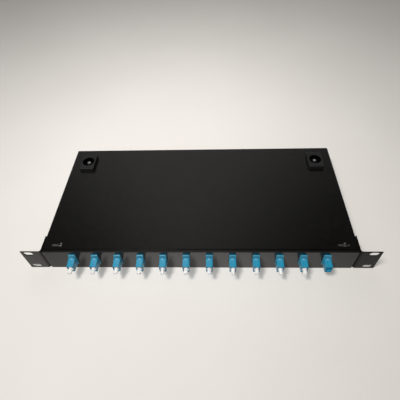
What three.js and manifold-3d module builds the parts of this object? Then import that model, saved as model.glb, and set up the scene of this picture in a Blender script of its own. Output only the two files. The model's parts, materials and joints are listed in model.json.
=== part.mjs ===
// A 1U, 19-inch rack-mount fibre termination box: a folded steel tray with a lift-off cover, a front
// panel that carries twelve SC adapters, and a splice tray fed by a harness of pigtails inside.
// Millimetres. +X is the viewer's right, +Y runs to the back, +Z is up.
// The origin is the centre of the tray's underside.
import * as THREE from "three";
import { mergeVertices } from "three/addons/utils/BufferGeometryUtils.js";
import Module from "manifold-3d";

const wasm = await Module();
wasm.setup();

// ---------- driving dimensions ----------
const RACK_WIDTH = 482.6; // over both ears, the 19-inch standard
const UNIT_HEIGHT = 44; // one rack unit less its clearance
const BODY_WIDTH = 421;
const BODY_DEPTH = 196;
const SHEET = 1.25; // tray and cover steel
const PANEL_SHEET = 1.5; // front panel steel
const EAR_SHEET = 1.2; // rack ear steel
const FIT_GAP = 0.25; // paint and assembly room between separate sheets

const PORTS = 12;
const PORT_PITCH = 31.3;
const PORT_HEIGHT = 24; // height of the adapters' axis above the underside

// ---------- planes worked out from them ----------
const FRONT = -BODY_DEPTH / 2;
const REAR = BODY_DEPTH / 2;
const SIDE = BODY_WIDTH / 2;
const WALL_TOP = UNIT_HEIGHT - SHEET; // the cover rests here
const WALL_INSIDE = SIDE - SHEET;

// ---------- materials ----------
const finish = (color, roughness, metalness = 0) =>
  new THREE.MeshStandardMaterial({ color, roughness, metalness });
const blackPaint = finish(0x1c1b1b, 0.55);
const greyPaint = finish(0x262423, 0.5);
const bluePlastic = finish(0x2a86b4, 0.4);
const clearWhitePlastic = finish(0xdfe6e8, 0.35);
const blackRubber = finish(0x141414, 0.8);
const steel = finish(0xb9bbbd, 0.3, 1);
const blackSteel = finish(0x2b2b2d, 0.35, 1);
const trayPlastic = finish(0xe8e7e2, 0.5);
const lidPlastic = finish(0xcfd8dc, 0.15);
const greyFoam = finish(0x55585c, 0.9);
// Jackets in the standard order of fibre colours.
const jackets = [
  0x1f5fb4, 0xe07b22, 0x2f9a4b, 0x7a4a2a, 0x8b9196, 0xeceae4,
  0xc22b2b, 0x232323, 0xe3c93a, 0x6b3f97, 0xd98aa6, 0x5fc0c4,
].map((color) => finish(color, 0.45));

// ---------- outlines ----------
const outline = (points) => new THREE.Shape(points.map(([u, v]) => new THREE.Vector2(u, v)));

// An outline drawn for the right-hand side, or its mirror image for the left-hand side.
const onSide = (side, points) => (side > 0 ? points : points.map(([u, v]) => [-u, v]).reverse());

function circle(radius, u = 0, v = 0) {
  const shape = new THREE.Shape();
  shape.absarc(u, v, radius, 0, Math.PI * 2, false);
  return shape;
}

// A rectangle with rounded corners, centred on (u, v).
function roundedRectangle(width, height, radius, u = 0, v = 0) {
  const [right, top] = [width / 2, height / 2];
  const shape = new THREE.Shape();
  shape.absarc(u + right - radius, v + top - radius, radius, 0, Math.PI / 2, false);
  shape.absarc(u - right + radius, v + top - radius, radius, Math.PI / 2, Math.PI, false);
  shape.absarc(u - right + radius, v - top + radius, radius, Math.PI, Math.PI * 1.5, false);
  shape.absarc(u + right - radius, v - top + radius, radius, Math.PI * 1.5, Math.PI * 2, false);
  return shape;
}

const slot = (length, width, u, v) => roundedRectangle(length, width, width / 2 - 0.01, u, v);

function hexagon(acrossFlats, u, v) {
  const corner = acrossFlats / Math.sqrt(3);
  const points = [...Array(6).keys()].map((i) => {
    const angle = (i * Math.PI) / 3;
    return [u + corner * Math.cos(angle), v + corner * Math.sin(angle)];
  });
  return outline(points);
}

// The section of folded sheet. The corners lie on its outer face, and its inside is on their left.
function foldedSheet(corners, thickness, outerRadius, arcSteps = 4) {
  const points = corners.map(([u, v]) => new THREE.Vector2(u, v));
  const trace = (inset) => {
    const path = [];
    points.forEach((corner, i) => {
      const before = points[i - 1];
      const after = points[i + 1];
      const along = (after ?? corner).clone().sub(after ? corner : before).normalize();
      const left = new THREE.Vector2(-along.y, along.x);
      if (!before || !after) {
        path.push(corner.clone().addScaledVector(left, inset));
        return;
      }
      const arriving = corner.clone().sub(before).normalize();
      const arrivingLeft = new THREE.Vector2(-arriving.y, arriving.x);
      const centre = corner
        .clone()
        .addScaledVector(arriving, -outerRadius)
        .addScaledVector(arrivingLeft, outerRadius);
      const start = arrivingLeft.clone().negate().angle();
      for (let step = 0; step <= arcSteps; step++) {
        const angle = start + (Math.PI / 2) * (step / arcSteps);
        const reach = outerRadius - inset;
        path.push(new THREE.Vector2(Math.cos(angle), Math.sin(angle)).multiplyScalar(reach).add(centre));
      }
    });
    return path;
  };
  return new THREE.Shape([...trace(0), ...trace(thickness).reverse()]);
}

// ---------- solids ----------
// An outline pushed along an axis: (y, z) along x, (x, z) along y, or (x, y) along z.
function push(shape, axis, from, to, curveSegments = 5) {
  const geometry = new THREE.ExtrudeGeometry(shape, { depth: to - from, bevelEnabled: false, curveSegments });
  const [x, y, z] = [new THREE.Vector3(1, 0, 0), new THREE.Vector3(0, 1, 0), new THREE.Vector3(0, 0, 1)];
  const place = new THREE.Matrix4();
  if (axis === "x") place.makeBasis(y, z, x).setPosition(from, 0, 0);
  if (axis === "y") place.makeBasis(x, z, y.negate()).setPosition(0, to, 0);
  if (axis === "z") place.setPosition(0, 0, from);
  return solid(geometry.applyMatrix4(place));
}

function box([x0, x1], [y0, y1], [z0, z1]) {
  const geometry = new THREE.BoxGeometry(x1 - x0, y1 - y0, z1 - z0);
  return solid(geometry.translate((x0 + x1) / 2, (y0 + y1) / 2, (z0 + z1) / 2));
}

const about = (middle, span) => [middle - span / 2, middle + span / 2];

// A profile of [radius, distance] turned about an axis, then moved to a point.
function turned(profile, axis, segments = 12, point = [0, 0, 0]) {
  const geometry = new THREE.LatheGeometry(
    profile.map(([radius, along]) => new THREE.Vector2(radius, along)),
    segments,
  );
  if (axis === "x") geometry.rotateZ(-Math.PI / 2);
  if (axis === "z") geometry.rotateX(Math.PI / 2);
  return solid(geometry.translate(...point));
}

// A round bar along a curve.
function bar(points, radius, steps, sides) {
  const path = new THREE.CatmullRomCurve3(points.map((p) => new THREE.Vector3(...p)));
  const options = { steps, bevelEnabled: false, extrudePath: path, curveSegments: sides / 2 };
  return solid(new THREE.ExtrudeGeometry(circle(radius), options));
}

function solid(geometry) {
  const bare = geometry.clone();
  bare.deleteAttribute("normal");
  bare.deleteAttribute("uv");
  const merged = mergeVertices(bare, 1e-4);
  const mesh = new wasm.Mesh({
    numProp: 3,
    vertProperties: merged.attributes.position.array,
    triVerts: new Uint32Array(merged.index.array),
  });
  return new wasm.Manifold(mesh);
}

const joined = (solids) => solids.reduce((whole, piece) => whole.add(piece));
const without = (whole, cuts) => cuts.reduce((rest, cut) => rest.subtract(cut), whole);

function geometryOf(manifold) {
  const mesh = manifold.getMesh();
  const geometry = new THREE.BufferGeometry();
  geometry.setAttribute("position", new THREE.BufferAttribute(mesh.vertProperties, 3));
  geometry.setIndex(new THREE.BufferAttribute(mesh.triVerts, 1));
  geometry.computeVertexNormals();
  return geometry;
}

// ---------- the assembly ----------
const assembly = new THREE.Group();

function place(name, manifold, material, position = [0, 0, 0]) {
  const mesh = new THREE.Mesh(geometryOf(manifold), material);
  mesh.name = name;
  mesh.position.set(...position);
  assembly.add(mesh);
}

const BOTH_SIDES = [
  ["left", -1],
  ["right", 1],
];

// ---------- fixing points shared by several pieces ----------
const COVER_SLOTS = { left: { centre: -192, screw: -186.5 }, right: { centre: 192.5, screw: 194.5 } };
const FRONT_FIXING_Y = FRONT + 9.75;
const PAD_X = 184; // centre of a corner pad
const PAD_Y = FRONT + 164.5;
const EAR_SCREW_Y = FRONT + 12.5;
const EAR_SCREW_ROWS = { lower: 10, upper: 32 };
const CABLE_X = 150; // rear cable entries
const REAR_HOLE_Z = 21.5;
const GROUND_X = 184;
const M3 = 1.5; // shank radii
const M4 = 2;
const CLEARANCE = 0.25; // radial room round a shank

// Two holes along x, one for each row of ear screws.
function earScrewHoles() {
  const rows = Object.values(EAR_SCREW_ROWS);
  return rows.map((z) => push(circle(M3 + CLEARANCE, EAR_SCREW_Y, z), "x", -SIDE - 5, SIDE + 5));
}

// ---------- tray ----------
const BEND = 2; // outer bend radius of the tray
const LIP = 10; // width of the in-turned lips that carry the cover
const CABLE_HOLE = 10; // radius in the rear wall
const POST = { acrossFlats: 8, trayScrewTop: 4 };
const BEHIND_PANEL = FRONT + PANEL_SHEET + FIT_GAP; // where the tray begins
const NOTCH_FLOOR = 38; // the lips are cut away above this behind the panel

function chassisTray() {
  const sides = foldedSheet(
    [
      [-SIDE + LIP, WALL_TOP],
      [-SIDE, WALL_TOP],
      [-SIDE, 0],
      [SIDE, 0],
      [SIDE, WALL_TOP],
      [SIDE - LIP, WALL_TOP],
    ],
    SHEET,
    BEND,
  );
  const rear = foldedSheet(
    [
      [REAR - 30, 0],
      [REAR, 0],
      [REAR, WALL_TOP],
      [REAR - LIP, WALL_TOP],
    ],
    SHEET,
    BEND,
  );
  const frontLip = foldedSheet(
    [
      [BEHIND_PANEL, 9],
      [BEHIND_PANEL, 0],
      [BEHIND_PANEL + 20, 0],
    ],
    SHEET,
    BEND,
  );
  const betweenWalls = [-WALL_INSIDE, WALL_INSIDE];
  const sheets = joined([
    push(sides, "y", BEHIND_PANEL, REAR),
    push(rear, "x", -WALL_INSIDE + FIT_GAP, WALL_INSIDE - FIT_GAP),
    ...BOTH_SIDES.flatMap(([, side]) => wallNuts(side)),
  ]);
  const opened = without(sheets, [
    box(betweenWalls, [FRONT, FRONT + PANEL.flange + 0.5], [NOTCH_FLOOR, UNIT_HEIGHT]),
    box(betweenWalls, [FRONT, BEHIND_PANEL + BEND], [-1, SHEET + 1]),
    ...earScrewHoles(),
    ...BOTH_SIDES.map(([, side]) => rearHole(CABLE_HOLE, side * CABLE_X)),
    rearHole(M4 + CLEARANCE, GROUND_X),
  ]);
  return joined([
    opened,
    push(frontLip, "x", -WALL_INSIDE + 3, WALL_INSIDE - 3),
    ...BOTH_SIDES.map(([, side]) => tappedPost(side * PAD_X, PAD_Y, WALL_TOP, M4)),
    tappedPost(0, TRAY.screwY, POST.trayScrewTop, M3),
    tappedPost(TRAY.footX, TRAY.footY, POST.trayScrewTop, 0),
    tappedPost(-TRAY.footX, TRAY.footY, POST.trayScrewTop, 0),
  ]);
}

// Clinch nuts pressed into a side wall, that the ear screws draw up to.
function wallNuts(side) {
  const across = about(side * (WALL_INSIDE - CLINCH_NUT.height / 2 + 0.5), CLINCH_NUT.height + 1);
  return Object.values(EAR_SCREW_ROWS).map((z) =>
    push(circle(CLINCH_NUT.radius, EAR_SCREW_Y, z), "x", ...across),
  );
}

const rearHole = (radius, x) => push(circle(radius, x, REAR_HOLE_Z), "y", REAR - 3, REAR + 1, 10);

// A hexagonal stand-off pressed into the tray floor, open at the top for a screw of the given radius.
function tappedPost(x, y, top, screw) {
  const post = push(hexagon(POST.acrossFlats, x, y), "z", SHEET - 0.5, top);
  return screw ? post.subtract(push(circle(screw + CLEARANCE, x, y), "z", SHEET, top + 1, 5)) : post;
}

// ---------- front panel ----------
// Its top flange fits between the tray's walls. At each end its face folds back outside the wall.
const PANEL = { side: WALL_INSIDE - FIT_GAP, flange: 16, bend: 2, returnDepth: 20, returnBend: 1.6 };
const RETURN_OUTSIDE = SIDE + FIT_GAP + PANEL_SHEET;
const CUTOUT = { width: 9.8, height: 13.5 };
const CLINCH_NUT = { radius: 3.25, height: 2.5 };

const portX = (port) => (port - (PORTS + 1) / 2) * PORT_PITCH;
const ports = [...Array(PORTS).keys()].map((i) => i + 1);

function frontPanel() {
  const section = foldedSheet(
    [
      [FRONT + PANEL.flange, WALL_TOP],
      [FRONT, WALL_TOP],
      [FRONT, 0],
    ],
    PANEL_SHEET,
    PANEL.bend,
  );
  const underFlange = WALL_TOP - PANEL_SHEET;
  const flangeNuts = BOTH_SIDES.map(([hand]) => {
    const nut = circle(CLINCH_NUT.radius, COVER_SLOTS[hand].screw, FRONT_FIXING_Y);
    return push(nut, "z", underFlange - CLINCH_NUT.height, underFlange + 1);
  });
  const cutouts = ports.map((port) => {
    const hole = roundedRectangle(CUTOUT.width, CUTOUT.height, 0.5, portX(port), PORT_HEIGHT);
    return push(hole, "y", FRONT - 1, FRONT + PANEL_SHEET + 1, 1);
  });
  const screwHoles = BOTH_SIDES.map(([hand]) =>
    push(circle(M3 + CLEARANCE, COVER_SLOTS[hand].screw, FRONT_FIXING_Y), "z", underFlange - 4, UNIT_HEIGHT),
  );
  const sheet = push(section, "x", -SIDE, SIDE).subtract(flangeNotches());
  const returns = BOTH_SIDES.map(([, side]) => endReturn(side));
  return without(joined([sheet, ...returns, ...flangeNuts]), [...cutouts, ...screwHoles, ...earScrewHoles()]);
}

// What is cut from each end of the top flange to clear the tray's wall.
function flangeNotches() {
  const notches = BOTH_SIDES.map(([, side]) => {
    const across = about((side * (PANEL.side + SIDE + 1)) / 2, SIDE + 1 - PANEL.side);
    return box(across, [FRONT + PANEL_SHEET, FRONT + PANEL.flange + 1], [NOTCH_FLOOR, UNIT_HEIGHT]);
  });
  return joined(notches);
}

// The end of the face, folded back between the tray's wall and the rack ear.
function endReturn(side) {
  const corners = onSide(side, [
    [PANEL.side, FRONT],
    [RETURN_OUTSIDE, FRONT],
    [RETURN_OUTSIDE, FRONT + PANEL.returnDepth],
  ]);
  return push(foldedSheet(corners, PANEL_SHEET, PANEL.returnBend), "z", 0, WALL_TOP - PANEL.bend);
}

// ---------- cover ----------
const COVER = { setback: 3.75, slotLength: 15.5, slotWidth: 3.6, cornerRadius: 1.5 };

function topCover() {
  const depth = BODY_DEPTH - COVER.setback;
  const plate = roundedRectangle(BODY_WIDTH, depth, COVER.cornerRadius, 0, COVER.setback / 2);
  const slots = BOTH_SIDES.map(([hand]) =>
    slot(COVER.slotLength, COVER.slotWidth, COVER_SLOTS[hand].centre, FRONT_FIXING_Y),
  );
  plate.holes.push(...slots);
  const padHoles = BOTH_SIDES.map(([, side]) =>
    push(circle(M4 + CLEARANCE, side * PAD_X, PAD_Y), "z", WALL_TOP - 1, UNIT_HEIGHT + 1),
  );
  return without(push(plate, "z", WALL_TOP, UNIT_HEIGHT, 3), padHoles);
}

// A pan-head screw pointing down, its head seated at height 0, with a cross recess.
function panScrew(shank, length, head) {
  const headHeight = head * 0.75;
  const body = turned(
    [
      [0, -length],
      [shank - 0.4, -length],
      [shank, -length + 0.6],
      [shank, 0],
      [head, 0],
      [head, headHeight * 0.5],
      [head * 0.72, headHeight * 0.9],
      [0, headHeight],
    ],
    "z",
    12,
  );
  return body.subtract(crossRecess(head * 0.55, head * 0.12, [headHeight * 0.45, headHeight + 1]));
}

function crossRecess(arm, half, depth) {
  return box([-arm, arm], [-half, half], depth).add(box([-half, half], [-arm, arm], depth));
}

// ---------- corner pads ----------
const PAD = { width: 24, depth: 33, height: 6, edge: 0.6, recess: 9.2, floor: 1 };

function cornerPad() {
  const block = push(roundedRectangle(PAD.width, PAD.depth, 3), "z", 0, PAD.height - PAD.edge, 2);
  const crown = roundedRectangle(PAD.width - 2 * PAD.edge, PAD.depth - 2 * PAD.edge, 2.4);
  return without(block.add(push(crown, "z", 1, PAD.height, 2)), [
    push(circle(PAD.recess), "z", PAD.floor, PAD.height + 1, 10),
    push(circle(M4 + CLEARANCE), "z", -1, PAD.height + 1, 5),
  ]);
}

// ---------- rack ears ----------
const EAR = {
  height: 42,
  leg: 25.5,
  bend: 4,
  slotX: 231.5,
  slotLength: 12.5,
  slotWidth: 7.6,
  slotPitch: 31.75, // between the two outer holes of a rack unit
};
const COUNTERSINK = { radius: 2.8, depth: 1, slack: 0.15 };
const EAR_INSIDE = RETURN_OUTSIDE + FIT_GAP;
const EAR_OUTSIDE = EAR_INSIDE + EAR_SHEET; // outer face of the leg

function rackEar(side) {
  const corners = onSide(side, [
    [EAR_INSIDE, FRONT + EAR.leg],
    [EAR_INSIDE, FRONT],
    [RACK_WIDTH / 2, FRONT],
  ]);
  const bracket = push(foldedSheet(corners, EAR_SHEET, EAR.bend), "z", 0, EAR.height);
  const slots = [-1, 1].map((row) => {
    const z = (EAR.height + row * EAR.slotPitch) / 2;
    const opening = slot(EAR.slotLength, EAR.slotWidth, side * EAR.slotX, z);
    return push(opening, "y", FRONT - 1, FRONT + EAR_SHEET + 1, 3);
  });
  const seats = Object.values(EAR_SCREW_ROWS).map((z) =>
    countersunkHead(COUNTERSINK.slack, side, [side * EAR_OUTSIDE, EAR_SCREW_Y, z]),
  );
  return without(bracket, [...slots, ...earScrewHoles(), ...seats]);
}

// The head of a countersunk screw that enters from the given side, its top at a point.
function countersunkHead(slack, side, point) {
  const radius = COUNTERSINK.radius + slack;
  const profile = [
    [0, -COUNTERSINK.depth - slack],
    [radius - COUNTERSINK.depth, -COUNTERSINK.depth - slack],
    [radius, -slack],
    [radius, slack],
    [0, slack],
  ];
  return turned(side > 0 ? profile : flipped(profile), "x", 12, point);
}

const flipped = (profile) => profile.map(([radius, along]) => [radius, -along]).reverse();

function earScrew(side) {
  const length = 8;
  const shank = [
    [0, -length],
    [M3 - 0.4, -length],
    [M3, -length + 0.6],
    [M3, -0.3],
    [0, -0.3],
  ];
  const [arm, half, depth] = [1.5, 0.35, 0.9];
  const recess = [
    box([-depth, depth], [-arm, arm], [-half, half]),
    box([-depth, depth], [-half, half], [-arm, arm]),
  ];
  const body = countersunkHead(0, side).add(turned(side > 0 ? shank : flipped(shank), "x", 8));
  return without(body, recess);
}

// ---------- SC adapters ----------
const ADAPTER = {
  width: 9.3,
  height: 13,
  nose: 15.7, // reach ahead of the panel
  tail: 13.3, // reach behind the panel's face
  flangeHeight: 23,
  flange: 2.2,
  portWidth: 7.5,
  portHeight: 9.4,
  web: 1.5, // half the wall between the front port and the rear port
  bore: 1.3, // radius of the hole through that wall
};

// Its origin is on the panel's front face, on the axis of the port.
function adapter() {
  const middle = (ADAPTER.tail - ADAPTER.nose) / 2;
  const barrelOutline = roundedRectangle(ADAPTER.width, ADAPTER.height, 0.5);
  const barrel = push(barrelOutline, "y", -ADAPTER.nose, ADAPTER.tail, 1);
  const flangeOutline = roundedRectangle(ADAPTER.width, ADAPTER.flangeHeight, 1);
  const flange = push(flangeOutline, "y", -ADAPTER.flange, 0, 1);
  const latchBump = box([-1.6, 1.6], [-5.2, -1], [0, ADAPTER.height / 2 + 0.6]);
  const port = (y) => box(about(0, ADAPTER.portWidth), y, about(0, ADAPTER.portHeight));
  const keyway = box([-1.3, 1.3], [-ADAPTER.nose - 1, middle - 6], [0, ADAPTER.portHeight / 2 + 0.9]);
  return without(joined([barrel, flange, latchBump]), [
    port([-ADAPTER.nose - 1, middle - ADAPTER.web]),
    port([middle + ADAPTER.web, ADAPTER.tail + 1]),
    push(circle(ADAPTER.bore), "y", middle - 3, middle + 3, 4),
    keyway,
  ]);
}

// ---------- dust caps ----------
const CAP = { plugSlack: 0.3, plugFront: 1.2, plugDepth: 8, gripRadius: 2.7, gripLength: 7 };

// Its origin is on the adapter's nose, on the axis of the port.
function dustCap() {
  const plugWidth = ADAPTER.portWidth - 2 * CAP.plugSlack;
  const plugHeight = ADAPTER.portHeight - 2 * CAP.plugSlack;
  const plug = box(about(0, plugWidth), [CAP.plugFront, CAP.plugDepth], about(0, plugHeight));
  const inside = [CAP.plugFront + 2, CAP.plugDepth + 1];
  const hollow = box(about(0, plugWidth - 2), inside, about(0, plugHeight - 2));
  const grip = turned(
    [
      [0, -CAP.gripLength],
      [CAP.gripRadius - 0.6, -CAP.gripLength],
      [CAP.gripRadius, -CAP.gripLength + 0.8],
      [CAP.gripRadius, CAP.plugFront + 1],
      [0, CAP.plugFront + 1],
    ],
    "y",
    16,
  );
  return plug.add(grip).subtract(hollow);
}

// ---------- pigtails ----------
const PLUG = { slack: 0.35, length: 16.5, boot: 13 };
const FIBRE = { radius: 0.45, steps: 14, sides: 4 };
const COMB = { y: 14, depth: 34, pitch: 3.4, rib: 0.5, ribHeight: 2.2, base: 1 };
const SLEEVE = { radius: 1.25, length: 40 };

// A plug in the back of the adapter, its boot, a lead in to the comb, and a splice sleeve.
function pigtail(x) {
  const plugFront = FRONT + (ADAPTER.tail - ADAPTER.nose) / 2 + ADAPTER.web + PLUG.slack;
  const plugBack = plugFront + PLUG.length;
  const bootEnd = plugBack + PLUG.boot;
  const plugWidth = ADAPTER.portWidth - 2 * PLUG.slack;
  const plugHeight = ADAPTER.portHeight - 2 * PLUG.slack;
  const plug = box(about(x, plugWidth), [plugFront, plugBack], about(PORT_HEIGHT, plugHeight));
  const boot = turned(
    [
      [0, plugBack - 1],
      [2.6, plugBack - 1],
      [2.4, plugBack + 2],
      [1.2, bootEnd],
      [0, bootEnd],
    ],
    "y",
    8,
    [x, 0, PORT_HEIGHT],
  );
  const bed = TRAY.floor + COMB.base + SLEEVE.radius + 0.1;
  const combX = (x / PORT_PITCH) * COMB.pitch;
  const sleeveFront = COMB.y - 3;
  const lead = bar(
    [
      [x, bootEnd - 1, PORT_HEIGHT],
      [x, bootEnd + 8, PORT_HEIGHT - 0.5],
      [(x + combX) / 2, (bootEnd + TRAY.front) / 2 + 2, (PORT_HEIGHT + bed) / 2 + Math.abs(combX) * 0.3],
      [combX, TRAY.front - 6, bed + 1],
      [combX, sleeveFront - 14, bed],
      [combX, sleeveFront + 1, bed],
    ],
    FIBRE.radius,
    FIBRE.steps,
    FIBRE.sides,
  );
  const sleeve = turned(
    [
      [0, sleeveFront],
      [SLEEVE.radius - 0.4, sleeveFront],
      [SLEEVE.radius, sleeveFront + 1],
      [SLEEVE.radius, sleeveFront + SLEEVE.length - 1],
      [SLEEVE.radius - 0.4, sleeveFront + SLEEVE.length],
      [0, sleeveFront + SLEEVE.length],
    ],
    "y",
    6,
    [combX, 0, bed],
  );
  return joined([plug, boot, lead, sleeve]);
}

// ---------- splice tray ----------
const TRAY = {
  width: 116,
  front: -24,
  back: 80,
  bottom: POST.trayScrewTop,
  floor: POST.trayScrewTop + 1.5, // top of its floor
  top: 15,
  wall: 1.5,
  entry: 46, // width of the opening the leads come in by
  screwY: 68,
  footX: 48,
  footY: -10,
};

const trayOutline = (inset) => {
  const depth = TRAY.back - TRAY.front - 2 * inset;
  return roundedRectangle(TRAY.width - 2 * inset, depth, 8 - inset, 0, (TRAY.back + TRAY.front) / 2);
};

function spliceTray() {
  return without(push(trayOutline(0), "z", TRAY.bottom, TRAY.top, 2), [
    push(trayOutline(TRAY.wall), "z", TRAY.floor, TRAY.top + 1, 2),
    box([-TRAY.entry / 2, TRAY.entry / 2], [TRAY.front - 1, TRAY.front + 3], [TRAY.floor, TRAY.top + 1]),
    box([-TRAY.entry / 2, TRAY.entry / 2], [TRAY.back - 3, TRAY.back + 1], [TRAY.floor, TRAY.top + 1]),
    push(circle(M3 + CLEARANCE, 0, TRAY.screwY), "z", 0, TRAY.top, 5),
  ]);
}

function spliceTrayLid() {
  const skirt = push(trayOutline(TRAY.wall + 0.3), "z", TRAY.top - 2, TRAY.top + 1, 2).subtract(
    push(trayOutline(TRAY.wall + 1.3), "z", TRAY.top - 3, TRAY.top, 2),
  );
  const entries = box([-TRAY.entry / 2, TRAY.entry / 2], [TRAY.front - 1, TRAY.back + 1], [0, TRAY.top]);
  return push(trayOutline(0), "z", TRAY.top, TRAY.top + 1.5, 2).add(skirt.subtract(entries));
}

function spliceComb() {
  const width = PORTS * COMB.pitch + COMB.rib;
  const [front, back] = [COMB.y, COMB.y + COMB.depth];
  const base = box([-width / 2, width / 2], [front, back], [TRAY.floor, TRAY.floor + COMB.base]);
  const ribs = [...Array(PORTS + 1).keys()].map((i) => {
    const x = (i - PORTS / 2) * COMB.pitch;
    const ribTop = TRAY.floor + COMB.base + COMB.ribHeight;
    return box([x - COMB.rib / 2, x + COMB.rib / 2], [front, back], [TRAY.floor, ribTop]);
  });
  return joined([base, ...ribs]);
}

// ---------- cable entry ----------
function cableGrommet() {
  const [outer, neck, bore] = [13, CABLE_HOLE - 0.2, 5.5];
  const wall = SHEET / 2 + 0.15;
  return turned(
    [
      [bore, -wall - 2.4],
      [outer - 0.8, -wall - 2.4],
      [outer, -wall - 1.6],
      [outer, -wall],
      [neck, -wall],
      [neck, wall],
      [outer, wall],
      [outer, wall + 1.6],
      [outer - 0.8, wall + 2.4],
      [bore, wall + 2.4],
      [bore, -wall - 2.4],
    ],
    "y",
    16,
  );
}

// A saddle that holds the jacket of an incoming cable down on the tray floor.
function cableClamp() {
  const [inner, thickness, foot, width] = [5, 1.6, 8, 12];
  const shape = new THREE.Shape();
  shape.moveTo(-inner - thickness - foot, 0);
  shape.lineTo(-inner, 0);
  shape.lineTo(-inner, 5);
  shape.absarc(0, 5, inner, Math.PI, 0, true);
  shape.lineTo(inner, 0);
  shape.lineTo(inner + thickness + foot, 0);
  shape.lineTo(inner + thickness + foot, thickness);
  shape.lineTo(inner + thickness, thickness);
  shape.lineTo(inner + thickness, 5);
  shape.absarc(0, 5, inner + thickness, 0, Math.PI, false);
  shape.lineTo(-inner - thickness, thickness);
  shape.lineTo(-inner - thickness - foot, thickness);
  return push(shape, "y", -width / 2, width / 2, 6);
}

// A square adhesive base with an open loop that keeps spare fibre together.
function fibreRing() {
  const ring = circle(9, 0, 9);
  ring.holes.push(circle(7.2, 0, 9));
  const loop = push(ring, "x", -3, 3, 8);
  const split = box([-4, 4], [-0.7, 0.7], [14, 20]);
  return box([-10, 10], [-10, 10], [0, 1.2]).add(loop.subtract(split));
}

// An earthing bolt through the rear wall, with its nut outside.
function groundStud() {
  const [inside, outside] = [-SHEET, 0];
  const shank = turned(
    [
      [0, inside - 2.6],
      [4, inside - 2.6],
      [4, inside],
      [M4, inside],
      [M4, outside + 9.5],
      [M4 - 0.5, outside + 10],
      [0, outside + 10],
    ],
    "y",
    14,
  );
  return shank.add(push(hexagon(7, 0, 0), "y", outside, outside + 3.2));
}

// ---------- putting it together ----------
place("chassis_tray", chassisTray(), blackPaint);
place("front_panel", frontPanel(), greyPaint);
place("top_cover", topCover(), blackPaint);
for (const [hand, side] of BOTH_SIDES) {
  place(`rack_ear_${hand}`, rackEar(side), greyPaint);
  for (const [row, z] of Object.entries(EAR_SCREW_ROWS)) {
    place(`ear_screw_${hand}_${row}`, earScrew(side), blackSteel, [side * EAR_OUTSIDE, EAR_SCREW_Y, z]);
  }
  const coverScrewSeat = [COVER_SLOTS[hand].screw, FRONT_FIXING_Y, UNIT_HEIGHT];
  place(`cover_screw_${hand}`, panScrew(M3, 6.5, 2.8), blackSteel, coverScrewSeat);
  place(`corner_pad_${hand}`, cornerPad(), blackRubber, [side * PAD_X, PAD_Y, UNIT_HEIGHT]);
  const padScrewSeat = [side * PAD_X, PAD_Y, UNIT_HEIGHT + PAD.floor];
  place(`pad_screw_${hand}`, panScrew(M4, 12, 3.2), steel, padScrewSeat);
  const cableHole = [side * CABLE_X, REAR - SHEET / 2, REAR_HOLE_Z];
  place(`cable_grommet_${hand}`, cableGrommet(), blackRubber, cableHole);
  place(`fibre_ring_${hand}`, fibreRing(), clearWhitePlastic, [side * 100, 30, SHEET]);
}
for (const port of ports) {
  const number = String(port).padStart(2, "0");
  place(`adapter_${number}`, adapter(), bluePlastic, [portX(port), FRONT, PORT_HEIGHT]);
  place(`pigtail_${number}`, pigtail(portX(port)), jackets[port - 1]);
  if (port < PORTS) {
    const nose = [portX(port), FRONT - ADAPTER.nose, PORT_HEIGHT];
    place(`dust_cap_${number}`, dustCap(), clearWhitePlastic, nose);
  }
}
place("splice_tray", spliceTray(), trayPlastic);
place("splice_tray_lid", spliceTrayLid(), lidPlastic);
place("splice_comb", spliceComb(), greyFoam);
place("tray_screw", panScrew(M3, 3.6, 2.6), steel, [0, TRAY.screwY, TRAY.floor]);
place("cable_clamp", cableClamp(), trayPlastic, [CABLE_X, 60, SHEET]);
place("ground_stud", groundStud(), steel, [GROUND_X, REAR, REAR_HOLE_Z]);

export default assembly;
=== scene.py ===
"""Looks for the fiber termination box: finer pieces, materials, floor, light and camera.

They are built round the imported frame, whose sheet-metal nodes keep their own shape. Lengths inside the piece
builders are millimetres; MM turns them into the frame's metres.
"""

import json
import math

import bmesh
import bpy
from mathutils import Euler, Matrix, Vector


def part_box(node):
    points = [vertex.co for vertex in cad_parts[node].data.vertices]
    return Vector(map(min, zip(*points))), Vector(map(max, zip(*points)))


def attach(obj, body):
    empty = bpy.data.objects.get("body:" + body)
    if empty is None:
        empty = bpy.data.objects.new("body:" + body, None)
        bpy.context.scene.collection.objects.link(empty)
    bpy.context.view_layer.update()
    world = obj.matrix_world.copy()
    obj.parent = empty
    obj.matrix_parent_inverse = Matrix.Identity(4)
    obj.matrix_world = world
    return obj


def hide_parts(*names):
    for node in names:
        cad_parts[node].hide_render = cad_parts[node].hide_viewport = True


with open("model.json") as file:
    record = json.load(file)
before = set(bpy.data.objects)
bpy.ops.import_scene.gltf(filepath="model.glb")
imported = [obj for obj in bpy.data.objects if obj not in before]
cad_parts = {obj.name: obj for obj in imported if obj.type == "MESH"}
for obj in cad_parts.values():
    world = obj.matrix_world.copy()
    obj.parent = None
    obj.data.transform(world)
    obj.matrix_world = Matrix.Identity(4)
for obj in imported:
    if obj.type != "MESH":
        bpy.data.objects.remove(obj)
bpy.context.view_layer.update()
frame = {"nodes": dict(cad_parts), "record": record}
nodes = frame["nodes"]
record = frame["record"]

MM = 0.001
SMOOTH_ANGLE = math.radians(32)
BODY_OF = {node: body for body, members in record["behaviour"]["bodies"].items() for node in members}
HANDS = ("left", "right")
PORTS = [f"{number:02d}" for number in range(1, 13)]


# ---------------------------------------------------------------- sizes read from the frame


def middle(node):
    """The centre of a node's box, in metres."""
    low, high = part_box(node)
    return (low + high) / 2


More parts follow.
